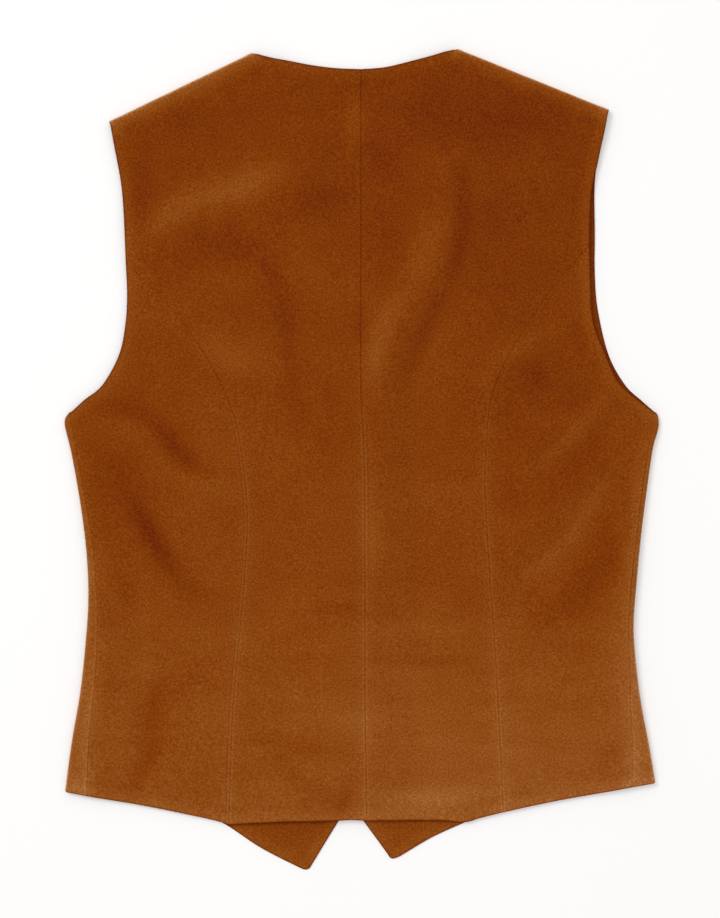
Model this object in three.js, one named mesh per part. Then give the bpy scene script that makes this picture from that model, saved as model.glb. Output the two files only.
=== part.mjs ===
// Suede waistcoat laid flat on its front, with its back uppermost.
// Millimetres: +X to the right, +Y towards the neck, +Z up from the surface it lies on.
// The origin is on that surface, under the middle of the garment.
// The back is four panels, the fronts are one panel each and wrap round the side folds.
import * as THREE from "three";

const WALL = 1.4;
const SEAM_GAP = 0.3;
const LAYER_GAP = 0.3;

// Shoulder folds: the back rolls over them and meets the front on the underside.
const SHOULDER = { high: 6, turnUnder: 8, blend: 45, neckBlend: 50, neckStepIn: 0.4, frontShift: 3 };

// Side folds: the front wraps up round them to the side seam on the back's face.
const SIDE_BLEND = 42;
const UNDERARM = { y: 39, blend: 60 };

// How far the back lifts off the fronts, and how it sags into the neck opening.
const LIFT = { most: 1.4, atHem: 0.6, least: 0.15, hemBlend: 45 };
const NECK_OPENING = { foot: 60, top: 325, halfWidth: 74, sag: 2, margin: 48 };

// The buttoned edge, down the middle of the fronts, and the lap beside it.
const FRONT_LINE_X = -9.8;
const BUTTONS = { count: 5, spacing: 75, lowest: -250 };
const BUTTON = { radius: 8, thick: 2.7, dish: 0.6, rim: 1.8, sides: 20 };
const BUTTON_LIFT = { flat: 13, reach: 60, taper: 48 };
const LAP = { left: -24.6, right: 4.9, low: -284, high: 96, clear: 9, reach: 44, gap: 0.7 };

// How many cells each stretch of a panel is cut into.
const NECK_CELLS = 6;
const SHOULDER_CELLS = 8;
const SHOULDER_ARC_CELLS = 5;
const UPPER_ARMHOLE_CELLS = 7;
const SEAM_CELLS = 22;
const SIDE_PANEL_CELLS = 10;
const SIDE_ARC_CELLS = 6;
const FRONT_CELLS = 12;
const FRONT_ARMHOLE_CELLS = 15;

// Cells grow away from the lapped edge of a front, and down from the underarm.
const FRONT_GROWTH = 1.35;
const SIDE_GROWTH = 1.3;

const SUEDE = { color: 0x86400f, roughness: 0.95, metalness: 0 };
const HORN = { color: 0x2e1a10, roughness: 0.4, metalness: 0 };

// Edges and seams of the back, each from its upper or middle end.
const CENTRE_SEAM = [
  { x: -0.8, y: 320.5 },
  { x: -0.8, y: 190 },
  { x: -0.8, y: 60 },
  { x: 1.8, y: 0 },
  { x: 2.4, y: -100 },
  { x: 2.6, y: -200 },
  { x: 4, y: -295.6 },
];

const LEFT = {
  side: -1,
  neckPoint: { x: -89.4, y: 333.6 },
  shoulderTip: { x: -207.5, y: 277.4 },
  neck: [
    { x: -0.8, y: 320.5 },
    { x: -21.3, y: 321.3 },
    { x: -41, y: 323.7 },
    { x: -60.7, y: 327.7 },
  ],
  upperArmhole: [
    { x: -203.2, y: 258.1 },
    { x: -197.4, y: 226 },
    { x: -195, y: 196.6 },
    { x: -193.6, y: 162 },
  ],
  princess: [
    { x: -193.6, y: 162 },
    { x: -164, y: 131.9 },
    { x: -139.4, y: 102.3 },
    { x: -115.6, y: 62.2 },
    { x: -102, y: 24.4 },
    { x: -94.8, y: -29.7 },
    { x: -94.8, y: -74.8 },
    { x: -99.8, y: -137.9 },
    { x: -106, y: -207.6 },
    { x: -109.2, y: -299 },
  ],
  lowerArmhole: [
    { x: -193.6, y: 162 },
    { x: -192.5, y: 135.1 },
    { x: -194, y: 110.5 },
    { x: -199.2, y: 85.9 },
    { x: -212.7, y: 61.3 },
    { x: -227.6, y: 49 },
  ],
  hem: [
    { x: 4, y: -295.6 },
    { x: -9.8, y: -294.5 },
    { x: -19, y: -295.8 },
    { x: -60, y: -296.6 },
    { x: -109.2, y: -299 },
  ],
  sideHem: [
    { x: -109.2, y: -299 },
    { x: -119.5, y: -296 },
    { x: -139.4, y: -291.6 },
    { x: -178.8, y: -283.6 },
    { x: -225, y: -275.6 },
  ],
  // The fold that is the garment's outline, the strip of front that shows
  // inside it, and the height of the fold, from the underarm down.
  sideFold: [
    { y: 39, fold: -242.6, strip: 3, high: 4.4 },
    { y: 27, fold: -243.4, strip: 5.9, high: 4.8 },
    { y: 10, fold: -239.3, strip: 4.7, high: 5.6 },
    { y: -15, fold: -234.4, strip: 4.6, high: 6.4 },
    { y: -45, fold: -229.5, strip: 5.3, high: 7.2 },
    { y: -80, fold: -225.5, strip: 6, high: 7.6 },
    { y: -115, fold: -224.3, strip: 7.5, high: 7.6 },
    { y: -150, fold: -226.6, strip: 9.8, high: 7.4 },
    { y: -190, fold: -231, strip: 11.3, high: 7 },
    { y: -230, fold: -237.9, strip: 14, high: 6.2 },
    { y: -271, fold: -243.5, strip: 17.8, high: 5.4 },
  ],
  frontEdge: [
    { x: -64, y: 230 },
    { x: -30, y: 130 },
    { x: -2, y: 72 },
    { x: 4.9, y: 45 },
    { x: 4.9, y: -100 },
    { x: 4.9, y: -240 },
    { x: 2, y: -266 },
    { x: -18.6, y: -295.7 },
    { x: -41.8, y: -333.6 },
    { x: -45.5, y: -337.1 },
  ],
  frontArmhole: [
    { x: -195, y: 236 },
    { x: -190.5, y: 200 },
    { x: -189, y: 160 },
    { x: -189.5, y: 128 },
    { x: -192.5, y: 100 },
    { x: -203.4, y: 73.4 },
    { x: -212.4, y: 61.4 },
    { x: -227.2, y: 48.8 },
  ],
  frontHem: [
    { x: -45.5, y: -337.1 },
    { x: -49.2, y: -336.2 },
    { x: -82.8, y: -318.7 },
    { x: -109.4, y: -301.1 },
    { x: -124, y: -294 },
    { x: -178.8, y: -282.6 },
  ],
};

const RIGHT = {
  side: 1,
  neckPoint: { x: 77.5, y: 337.1 },
  shoulderTip: { x: 202.5, y: 286.8 },
  neck: [
    { x: -0.8, y: 320.5 },
    { x: 18, y: 322 },
    { x: 37.7, y: 326.3 },
    { x: 57.4, y: 331.4 },
  ],
  upperArmhole: [
    { x: 198.9, y: 270.4 },
    { x: 193.8, y: 246.3 },
    { x: 187.9, y: 215.5 },
    { x: 186.6, y: 176 },
  ],
  princess: [
    { x: 186.6, y: 176 },
    { x: 157, y: 141.7 },
    { x: 137.5, y: 114.2 },
    { x: 117.9, y: 81.3 },
    { x: 105.5, y: 47.4 },
    { x: 101, y: -3 },
    { x: 101.7, y: -43.6 },
    { x: 105, y: -97.3 },
    { x: 109, y: -155 },
    { x: 112.8, y: -222 },
    { x: 116, y: -289 },
  ],
  lowerArmhole: [
    { x: 186.6, y: 176 },
    { x: 187.3, y: 146.6 },
    { x: 189.6, y: 113.3 },
    { x: 200.8, y: 84.1 },
    { x: 209.1, y: 65.4 },
    { x: 219.3, y: 54.8 },
  ],
  hem: [
    { x: 4, y: -295.6 },
    { x: 40, y: -295.2 },
    { x: 65.6, y: -295.6 },
    { x: 84.5, y: -297 },
    { x: 96.8, y: -293.7 },
    { x: 116, y: -289 },
  ],
  sideHem: [
    { x: 116, y: -289 },
    { x: 155.8, y: -280.4 },
    { x: 195.2, y: -273.3 },
    { x: 221.2, y: -268.4 },
  ],
  sideFold: [
    { y: 39, fold: 242.6, strip: 3, high: 4.4 },
    { y: 28, fold: 243.4, strip: 5.6, high: 4.8 },
    { y: 10, fold: 238.7, strip: 4.2, high: 5.6 },
    { y: -25, fold: 233.5, strip: 4.2, high: 6.4 },
    { y: -60, fold: 229, strip: 4, high: 7.2 },
    { y: -98, fold: 225.3, strip: 4.8, high: 7.6 },
    { y: -136, fold: 222.6, strip: 4.6, high: 7.6 },
    { y: -165, fold: 224.5, strip: 5.6, high: 7.4 },
    { y: -198, fold: 228.7, strip: 9, high: 7 },
    { y: -234, fold: 235.5, strip: 14, high: 6.2 },
    { y: -264, fold: 240.6, strip: 19.4, high: 5.4 },
  ],
  frontEdge: [
    { x: 46, y: 230 },
    { x: 10, y: 130 },
    { x: -18, y: 72 },
    { x: -24.6, y: 45 },
    { x: -24.6, y: -100 },
    { x: -24.6, y: -238 },
    { x: -21, y: -264 },
    { x: 0, y: -294.5 },
    { x: 22.2, y: -325.2 },
    { x: 24.9, y: -327.8 },
  ],
  frontArmhole: [
    { x: 193, y: 246 },
    { x: 190.9, y: 221.2 },
    { x: 191.1, y: 184.3 },
    { x: 191.1, y: 153 },
    { x: 193.6, y: 122.8 },
    { x: 202.5, y: 85.9 },
    { x: 216.1, y: 61.3 },
    { x: 229, y: 49 },
  ],
  frontHem: [
    { x: 24.9, y: -327.8 },
    { x: 29.5, y: -326.5 },
    { x: 57.1, y: -310.1 },
    { x: 84.7, y: -297.6 },
    { x: 100, y: -291.6 },
    { x: 155.8, y: -279.4 },
  ],
};

// Folds of the back: a line through three points, half its width, and its
// height, below nothing for a trough.
const FOLDS = [
  { name: "left shoulder blade", from: [-192, 187], by: [-149, 221], to: [-82, 249], wide: 17, high: 2.4 },
  { name: "left underarm", from: [-216, 40], by: [-170, 26], to: [-125, -17], wide: 12, high: 3.4 },
  { name: "left waist", from: [-191, -35], by: [-170, -82], to: [-149, -115], wide: 12, high: 3.2 },
  { name: "right of the centre", from: [74, 256], by: [76, 180], to: [21, 86], wide: 15, high: 3 },
  { name: "right armhole", from: [115, 71], by: [147, 89], to: [179, 98], wide: 11, high: -1.8 },
  { name: "right underarm", from: [130, 8], by: [172, 36], to: [206, 48], wide: 12, high: 1.8 },
  { name: "under the right arm", from: [138, -21], by: [179, 4], to: [212, 32], wide: 11, high: -1.4 },
  { name: "right side", from: [130, -62], by: [171, -29], to: [205, 8], wide: 13, high: 2.4 },
  { name: "right waist", from: [130, -99], by: [179, -78], to: [213, -30], wide: 12, high: -1.5 },
  { name: "left of the centre", from: [-67, 156], by: [-51, 82], to: [-47, 16], wide: 15, high: -1 },
  { name: "low middle", from: [-40, -115], by: [39, -148], to: [89, -154], wide: 13, high: 1.2 },
  { name: "low left", from: [-161, -180], by: [-174, -222], to: [-186, -262], wide: 12, high: -1 },
  { name: "over the notch", from: [-8, -258], by: [-18, -279], to: [-26, -297], wide: 11, high: -1.4 },
];
const FOLD_SAMPLES = 12;
const FOLD_END_SHARE = 0.35;

// 0 below the first value, 1 above the second, and smooth between them.
function ease(from, to, value) {
  return THREE.MathUtils.smoothstep(value, from, to);
}

function curveThrough(rows) {
  return new THREE.SplineCurve(rows.map(({ x, y }) => new THREE.Vector2(x, y)));
}

// Points along a curve in equal steps, or in steps that grow along it.
function stepsAlong(curve, cells, growth = 1) {
  return Array.from({ length: cells + 1 }, (_, i) => curve.getPointAt((i / cells) ** growth));
}

function equalSteps(rows, cells) {
  return stepsAlong(curveThrough(rows), cells);
}

function joined(first, second) {
  return [...first, ...second.slice(1)];
}

// Points moved across their own line. On a line that runs down the garment,
// a positive distance moves them to the right.
function movedAcross(points, distance) {
  return points.map((point, i) => {
    const before = points[Math.max(i - 1, 0)];
    const after = points[Math.min(i + 1, points.length - 1)];
    const along = after.clone().sub(before).normalize();
    return new THREE.Vector2(point.x - along.y * distance, point.y + along.x * distance);
  });
}

// The fold, strip and height of a side at one y, from its table.
function sideAt(half, y) {
  const at = (key) => smoothColumn(half.sideFold, key, y);
  return { fold: at("fold"), strip: at("strip"), high: at("high") };
}

// A column of a table as a smooth curve of y.
function smoothColumn(rows, key, y) {
  const clamped = THREE.MathUtils.clamp(y, rows[rows.length - 1].y, rows[0].y);
  let lower = rows.findIndex((row) => row.y <= clamped);
  lower = Math.max(lower, 1);
  const at = (i) => rows[THREE.MathUtils.clamp(i, 0, rows.length - 1)];
  const [a, b, c, d] = [at(lower - 2), at(lower - 1), at(lower), at(lower + 1)];
  const t = (b.y - clamped) / (b.y - c.y);
  const slopeIn = ((c[key] - a[key]) * (b.y - c.y)) / (a.y - c.y);
  const slopeOut = ((d[key] - b[key]) * (b.y - c.y)) / (b.y - d.y);
  const t2 = t * t;
  const t3 = t2 * t;
  return (
    (2 * t3 - 3 * t2 + 1) * b[key] +
    (t3 - 2 * t2 + t) * slopeIn +
    (3 * t2 - 2 * t3) * c[key] +
    (t3 - t2) * slopeOut
  );
}

// Height that one fold adds at a point.
function foldHeight(fold, x, y) {
  const curve = new THREE.QuadraticBezierCurve(
    new THREE.Vector2(...fold.from),
    new THREE.Vector2(...fold.by),
    new THREE.Vector2(...fold.to),
  );
  let nearest = Infinity;
  let share = 0;
  for (let i = 0; i <= FOLD_SAMPLES; i += 1) {
    const t = i / FOLD_SAMPLES;
    const point = curve.getPoint(t);
    const distance = Math.hypot(x - point.x, y - point.y);
    if (distance < nearest) {
      nearest = distance;
      share = t;
    }
  }
  const swell = THREE.MathUtils.lerp(FOLD_END_SHARE, 1, Math.sin(Math.PI * share));
  return fold.high * swell * Math.exp(-((nearest / fold.wide) ** 2));
}

// The value of one column of a table where another column has a given value.
function straightColumn(rows, key, by, value) {
  const falling = rows[0][by] > rows[rows.length - 1][by];
  const next = rows.findIndex((row) => (falling ? row[by] <= value : row[by] >= value));
  if (next < 0) return rows[rows.length - 1][key];
  if (next === 0) return rows[0][key];
  const [before, after] = [rows[next - 1], rows[next]];
  return THREE.MathUtils.mapLinear(value, before[by], after[by], before[key], after[key]);
}

// The buttons hold the fronts off the surface along the front line.
function buttonLift(x, y) {
  const highest = BUTTONS.lowest + BUTTONS.spacing * (BUTTONS.count - 1);
  const { flat, reach, taper } = BUTTON_LIFT;
  const across = 1 - ease(flat, reach, Math.abs(x - FRONT_LINE_X));
  const past = Math.max(BUTTONS.lowest - y, y - highest);
  return (BUTTON.thick + LAYER_GAP) * across * (1 - ease(flat, taper, past));
}

// The second thickness where the fronts lap, as the back feels it.
function lapLift(x, y) {
  const past = Math.max(LAP.left - x, x - LAP.right, LAP.low - y, y - LAP.high);
  return (WALL + LAP.gap) * (1 - ease(0, LAP.reach, past));
}

// Height of the underside of a front. The right front lies on the left one.
function frontUnderside(half, x, y) {
  const lift = buttonLift(x, y);
  if (half === LEFT) return lift;
  const past = x - straightColumn(LEFT.frontEdge, "x", "y", y);
  return lift + (WALL + LAP.gap) * (1 - ease(LAP.clear, LAP.reach, past));
}

const HEM = [...LEFT.sideHem.toReversed(), ...LEFT.hem.toReversed(), ...RIGHT.hem, ...RIGHT.sideHem];

// Height of the back's upper face.
function backHeight(x, y) {
  const half = x < 0 ? LEFT : RIGHT;
  const bump = buttonLift(x, y) + lapLift(x, y);
  const aboveHem = y - straightColumn(HEM, "y", "x", x);
  const even = THREE.MathUtils.lerp(LIFT.atHem, LIFT.most, ease(0, LIFT.hemBlend, aboveHem));
  const folds = FOLDS.reduce((sum, fold) => sum + foldHeight(fold, x, y), 0);
  const lift = Math.max(even + folds, LIFT.least);
  const { foot, top, halfWidth, margin } = NECK_OPENING;
  const open = THREE.MathUtils.mapLinear(y, foot, top, 0, halfWidth);
  const sag = NECK_OPENING.sag * ease(0, margin, open - Math.abs(x - FRONT_LINE_X));
  const lying = 2 * WALL + LAYER_GAP + lift + bump - sag;

  const { neckPoint, along, outward } = shoulderOf(half);
  const fromNeck = new THREE.Vector2(x, y).sub(neckPoint);
  const below = -fromNeck.dot(outward);
  const pastNeck = fromNeck.dot(along);
  const nearShoulder =
    (1 - ease(0, SHOULDER.blend, below - SHOULDER.high / 2)) *
    ease(-SHOULDER.neckBlend, 0, pastNeck);
  const shouldered = THREE.MathUtils.lerp(lying, SHOULDER.high, nearShoulder);

  const side = sideAt(half, y);
  const inside = half.side * (side.fold - x) - side.strip;
  const belowArm = 1 - ease(UNDERARM.y, UNDERARM.y + UNDERARM.blend, y);
  const nearSide = (1 - ease(0, SIDE_BLEND, inside)) * belowArm;
  return THREE.MathUtils.lerp(shouldered, side.high, nearSide);
}

// The shoulder line of a half: its ends and its directions.
function shoulderOf(half) {
  const neckPoint = new THREE.Vector2(half.neckPoint.x, half.neckPoint.y);
  const tip = new THREE.Vector2(half.shoulderTip.x, half.shoulderTip.y);
  const along = tip.clone().sub(neckPoint).normalize();
  const outward = new THREE.Vector2(half.side * -along.y, half.side * along.x);
  return { neckPoint, tip, along, outward };
}

// A grid of flat points blended between four edges.
function blendedGrid(top, bottom, inner, outer, growth = 1) {
  const columns = top.length - 1;
  const rows = inner.length - 1;
  return (column, row) => {
    const u = (column / columns) ** growth;
    const v = row / rows;
    const mix = (axis) =>
      (1 - v) * top[column][axis] +
      v * bottom[column][axis] +
      (1 - u) * inner[row][axis] +
      u * outer[row][axis] -
      (1 - u) * (1 - v) * top[0][axis] -
      u * (1 - v) * top[columns][axis] -
      (1 - u) * v * bottom[0][axis] -
      u * v * bottom[columns][axis];
    return new THREE.Vector2(mix("x"), mix("y"));
  };
}

function signedVolume(positions, index) {
  const at = (i) => new THREE.Vector3().fromArray(positions, index[i] * 3);
  let volume = 0;
  for (let i = 0; i < index.length; i += 3) {
    volume += at(i).dot(at(i + 1).cross(at(i + 2))) / 6;
  }
  return volume;
}

// A closed wall between two grids of points. pointAt(face, column, row) gives
// the outer face for 0 and the inner one for 1, and covers(column, row) says
// which cells the piece fills.
function wallGeometry(columns, rows, pointAt, covers) {
  const positions = [];
  const index = [];
  const numbers = new Map();
  const corner = (face, column, row) => {
    const key = `${face} ${column} ${row}`;
    if (!numbers.has(key)) {
      numbers.set(key, positions.length / 3);
      positions.push(...pointAt(face, column, row).toArray());
    }
    return numbers.get(key);
  };
  const quad = (a, b, c, d) => index.push(a, b, c, a, c, d);
  const filled = (column, row) =>
    column >= 0 && row >= 0 && column < columns && row < rows && covers(column, row);

  for (let column = 0; column < columns; column += 1) {
    for (let row = 0; row < rows; row += 1) {
      if (!filled(column, row)) continue;
      const around = [
        { at: [column, row], neighbour: [column, row - 1] },
        { at: [column + 1, row], neighbour: [column + 1, row] },
        { at: [column + 1, row + 1], neighbour: [column, row + 1] },
        { at: [column, row + 1], neighbour: [column - 1, row] },
      ];
      const outer = around.map(({ at }) => corner(0, ...at));
      const inner = around.map(({ at }) => corner(1, ...at));
      quad(...outer);
      quad(inner[0], inner[3], inner[2], inner[1]);
      around.forEach(({ neighbour }, i) => {
        const next = (i + 1) % 4;
        if (!filled(...neighbour)) quad(outer[next], outer[i], inner[i], inner[next]);
      });
    }
  }
  if (signedVolume(positions, index) < 0) index.reverse();

  const geometry = new THREE.BufferGeometry();
  geometry.setAttribute("position", new THREE.Float32BufferAttribute(positions, 3));
  geometry.setIndex(index);
  geometry.computeVertexNormals();
  return geometry;
}

function addPiece(group, name, geometry, material) {
  const mesh = new THREE.Mesh(geometry, new THREE.MeshStandardMaterial(material));
  mesh.name = name;
  group.add(mesh);
  return mesh;
}

// Half of the back's middle, with the roll over the shoulder above its grid.
function backCentre(half) {
  const gap = (half.side * SEAM_GAP) / 2;
  const radius = SHOULDER.high / 2;
  const { neckPoint, tip, along, outward } = shoulderOf(half);
  const bendStart = neckPoint.clone().addScaledVector(outward, -radius);
  bendStart.addScaledVector(along, -SHOULDER.neckStepIn);
  const bendEnd = tip.clone().addScaledVector(outward, -radius);

  const neck = equalSteps([...half.neck, bendStart], NECK_CELLS);
  const shoulder = stepsAlong(new THREE.LineCurve(bendStart, bendEnd), SHOULDER_CELLS);
  const top = joined(neck, shoulder);
  const inner = movedAcross(equalSteps(CENTRE_SEAM, UPPER_ARMHOLE_CELLS + SEAM_CELLS), gap);
  const armhole = equalSteps([bendEnd, ...half.upperArmhole], UPPER_ARMHOLE_CELLS);
  const princess = movedAcross(equalSteps(half.princess, SEAM_CELLS), -gap);
  armhole[armhole.length - 1].copy(princess[0]);
  const outer = joined(armhole, princess);
  const bottom = equalSteps(half.hem, top.length - 1);
  top[0].x = inner[0].x;
  bottom[0].copy(inner[inner.length - 1]);
  outer[outer.length - 1].y = bottom[bottom.length - 1].y;
  bottom[bottom.length - 1].copy(outer[outer.length - 1]);
  const flat = blendedGrid(top, bottom, inner, outer);

  const rollRows = SHOULDER_ARC_CELLS + 1;
  const columns = top.length - 1;
  const rows = rollRows + inner.length - 1;
  const pointAt = (face, column, row) => {
    if (row >= rollRows) {
      const { x, y } = flat(column, row - rollRows);
      return new THREE.Vector3(x, y, backHeight(x, y) - face * WALL);
    }
    const start = flat(column, 0);
    if (row === 0) {
      start.addScaledVector(outward, radius - SHOULDER.turnUnder);
      return new THREE.Vector3(start.x, start.y, face * WALL);
    }
    const angle = (Math.PI * (rollRows - row)) / SHOULDER_ARC_CELLS;
    const reach = radius - face * WALL;
    start.addScaledVector(outward, reach * Math.sin(angle));
    return new THREE.Vector3(start.x, start.y, radius + reach * Math.cos(angle));
  };
  const covers = (column, row) => row >= rollRows || column >= NECK_CELLS;
  return wallGeometry(columns, rows, pointAt, covers);
}

// The side from the underarm to the hem: the side seam as it lies on the
// back's face, and where the front leaves the surface to go round the fold.
function sideLines(half) {
  const first = half.sideFold[0].y;
  const last = half.sideFold[half.sideFold.length - 1].y;
  const hemDrop = half.sideHem[half.sideHem.length - 1].y - last;
  const seam = [];
  const bend = [];
  for (let i = 0; i <= SEAM_CELLS; i += 1) {
    const share = (i / SEAM_CELLS) ** SIDE_GROWTH;
    const y = THREE.MathUtils.lerp(first, last, share);
    const { fold, strip, high } = sideAt(half, y);
    seam.push(new THREE.Vector2(fold - half.side * strip, y + hemDrop * share ** 4));
    bend.push(new THREE.Vector2(fold - (half.side * high) / 2, y));
  }
  return { seam, bend };
}

// Half of the back's side, between the princess seam and the side seam.
function backSide(half) {
  const gap = (half.side * SEAM_GAP) / 2;
  const inner = movedAcross(equalSteps(half.princess, SEAM_CELLS), gap);
  const outer = movedAcross(sideLines(half).seam, -gap);
  const top = equalSteps([...half.lowerArmhole, outer[0]], SIDE_PANEL_CELLS);
  const bottom = equalSteps([...half.sideHem.slice(0, -1), outer[outer.length - 1]], SIDE_PANEL_CELLS);
  top[0].copy(inner[0]);
  inner[inner.length - 1].y = bottom[0].y;
  bottom[0].copy(inner[inner.length - 1]);
  const flat = blendedGrid(top, bottom, inner, outer);
  const pointAt = (face, column, row) => {
    const { x, y } = flat(column, row);
    return new THREE.Vector3(x, y, backHeight(x, y) - face * WALL);
  };
  return wallGeometry(SIDE_PANEL_CELLS, SEAM_CELLS, pointAt, () => true);
}

// A front: flat on the surface, and wrapped up round the side fold below the arm.
function front(half) {
  const gap = (half.side * SEAM_GAP) / 2;
  const { seam: seamLine, bend } = sideLines(half);
  const seam = movedAcross(seamLine, gap);
  const { neckPoint, tip, along, outward } = shoulderOf(half);
  const shoulderEnds = [neckPoint, tip].map((point) =>
    point
      .addScaledVector(outward, -SHOULDER.turnUnder - SEAM_GAP)
      .addScaledVector(along, -SHOULDER.frontShift),
  );
  const top = stepsAlong(new THREE.LineCurve(...shoulderEnds), FRONT_CELLS, FRONT_GROWTH);
  const armhole = equalSteps([shoulderEnds[1], ...half.frontArmhole, bend[0]], FRONT_ARMHOLE_CELLS);
  const outer = joined(armhole, bend);
  const inner = equalSteps([shoulderEnds[0], ...half.frontEdge], outer.length - 1);
  const hem = curveThrough([...half.frontHem, bend[bend.length - 1]]);
  const bottom = stepsAlong(hem, FRONT_CELLS, FRONT_GROWTH);
  const flat = blendedGrid(top, bottom, inner, outer, FRONT_GROWTH);

  const columns = FRONT_CELLS + SIDE_ARC_CELLS + 1;
  const rows = outer.length - 1;
  const pointAt = (face, column, row) => {
    if (column <= FRONT_CELLS) {
      const { x, y } = flat(column, row);
      return new THREE.Vector3(x, y, frontUnderside(half, x, y) + face * WALL);
    }
    const start = outer[row];
    const end = seam[row - FRONT_ARMHOLE_CELLS];
    const { high, fold } = sideAt(half, start.y);
    const radius = high / 2;
    const reach = radius - face * WALL;
    const step = Math.min(column - FRONT_CELLS, SIDE_ARC_CELLS);
    const angle = (Math.PI * step) / SIDE_ARC_CELLS;
    const z = radius - reach * Math.cos(angle);
    if (column === columns) return new THREE.Vector3(end.x, end.y, z);
    const length = Math.abs(fold - end.x) + 2 * radius;
    const y = THREE.MathUtils.lerp(start.y, end.y, (radius * angle) / length);
    return new THREE.Vector3(start.x + half.side * reach * Math.sin(angle), y, z);
  };
  const covers = (column, row) => column < FRONT_CELLS || row >= FRONT_ARMHOLE_CELLS;
  return wallGeometry(columns, rows, pointAt, covers);
}

// A plain button, face down, with a dished face inside a raised rim.
function button() {
  const profile = [
    [0, BUTTON.dish],
    [BUTTON.radius - 2 * BUTTON.rim, BUTTON.dish],
    [BUTTON.radius - BUTTON.rim, 0],
    [BUTTON.radius - BUTTON.dish, 0],
    [BUTTON.radius, BUTTON.dish],
    [BUTTON.radius, BUTTON.thick - BUTTON.dish],
    [BUTTON.radius - BUTTON.dish, BUTTON.thick],
    [0, BUTTON.thick],
  ];
  const geometry = new THREE.LatheGeometry(
    profile.map(([x, y]) => new THREE.Vector2(x, y)),
    BUTTON.sides,
  );
  return geometry.rotateX(Math.PI / 2);
}

const vest = new THREE.Group();
vest.name = "leather_vest";
for (const [word, half] of [["left", LEFT], ["right", RIGHT]]) {
  addPiece(vest, `back_centre_${word}`, backCentre(half), SUEDE);
  addPiece(vest, `back_side_${word}`, backSide(half), SUEDE);
  addPiece(vest, `front_${word}`, front(half), SUEDE);
}
for (let i = 0; i < BUTTONS.count; i += 1) {
  const piece = addPiece(vest, `button_${i + 1}`, button(), HORN);
  piece.position.set(FRONT_LINE_X, BUTTONS.lowest + BUTTONS.spacing * i, 0);
}

export default vest;
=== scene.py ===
# Suede waistcoat laid flat on its front, with its back uppermost.
# Lengths are millimetres until a mesh is made, and the frame's metres after that.
import math

import bpy
import numpy as np
from mathutils import Matrix, Vector


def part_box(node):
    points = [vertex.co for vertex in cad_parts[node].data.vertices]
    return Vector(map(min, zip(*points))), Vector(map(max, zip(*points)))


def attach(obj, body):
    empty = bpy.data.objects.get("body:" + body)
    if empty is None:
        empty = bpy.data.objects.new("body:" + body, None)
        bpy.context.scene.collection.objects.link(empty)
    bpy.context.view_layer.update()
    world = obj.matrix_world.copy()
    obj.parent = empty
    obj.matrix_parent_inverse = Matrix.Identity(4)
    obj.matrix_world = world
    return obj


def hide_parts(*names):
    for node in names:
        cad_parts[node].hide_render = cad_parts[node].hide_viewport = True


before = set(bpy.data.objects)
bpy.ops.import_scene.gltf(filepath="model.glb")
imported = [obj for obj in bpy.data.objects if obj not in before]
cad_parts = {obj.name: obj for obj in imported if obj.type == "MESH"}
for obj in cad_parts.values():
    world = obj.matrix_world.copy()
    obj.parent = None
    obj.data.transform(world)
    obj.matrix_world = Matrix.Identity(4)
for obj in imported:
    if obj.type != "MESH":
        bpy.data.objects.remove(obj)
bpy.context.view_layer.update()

MM = 0.001

# The wall, and what shows between two panels that are sewn together.
WALL = 1.4
SEAM_SHOWS = 0.04

# The cut's cells, and how they close up towards its edges.
CELL = 2.2
EDGE_STEPS = (0, 0.12, 0.3, 0.55, 0.9, 1.35, 1.9, 2.6, 3.4)
STRIP_STEPS = (*EDGE_STEPS, 5, 7, 9.5, 12, 15)
STRIP_LEAST = 0.02
LINE_SAMPLES = 24
TANGENT_SHARE = 1.25
LINE_GROUP = 8
ROLL_STEPS = 14
SIDE_SAMPLES = 12
TINY = 1e-6

# How many of the frame's cells each stretch of an edge has, which share it out.
NECK_CELLS = 6
SHOULDER_CELLS = 8
UPPER_ARMHOLE_CELLS = 7
SEAM_CELLS = 22
FRONT_ARMHOLE_CELLS = 15
SIDE_GROWTH = 1.3
SIDE_HEM_TURN = 4

SHOULDER = {"high": 6, "turn_under": 8, "blend": 45, "neck_blend": 50, "front_shift": 3}
NECK_CORNER = {"aside": 3, "back": 2.6, "fade": 16, "round": 5, "pulled_in": 0.34}
SIDE_BLEND = 42
UNDERARM = {"y": 39, "blend": 60, "rounded": 1.6, "round": 3.5, "seam_from": 0}
LIFT = {"most": 1.4, "at_hem": 0.6, "least": 0.15, "hem_blend": 45}
NECK_OPENING = {"foot": 60, "top": 325, "half_width": 74, "sag": 2, "margin": 48}
LAYER_GAP = 0.3

FRONT_LINE_X = -9.8
BUTTONS = {"count": 5, "spacing": 75, "lowest": -250}
BUTTON_THICK = 2.7
BUTTON_LIFT = {"flat": 13, "reach": 60, "taper": 48}
LAP = {"left": -24.6, "right": 4.9, "low": -284, "high": 96, "clear": 9, "reach": 44, "gap": 0.7}

# Edges and seams, each from its upper or middle end. Points are (x, y), and a
# side fold's rows are (y, fold, strip of front that shows inside it, height).
CENTRE_SEAM = [(-0.8, 320.5), (-0.8, 190), (-0.8, 60), (1.8, 0), (2.4, -100), (2.6, -200), (4, -295.6)]

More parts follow.
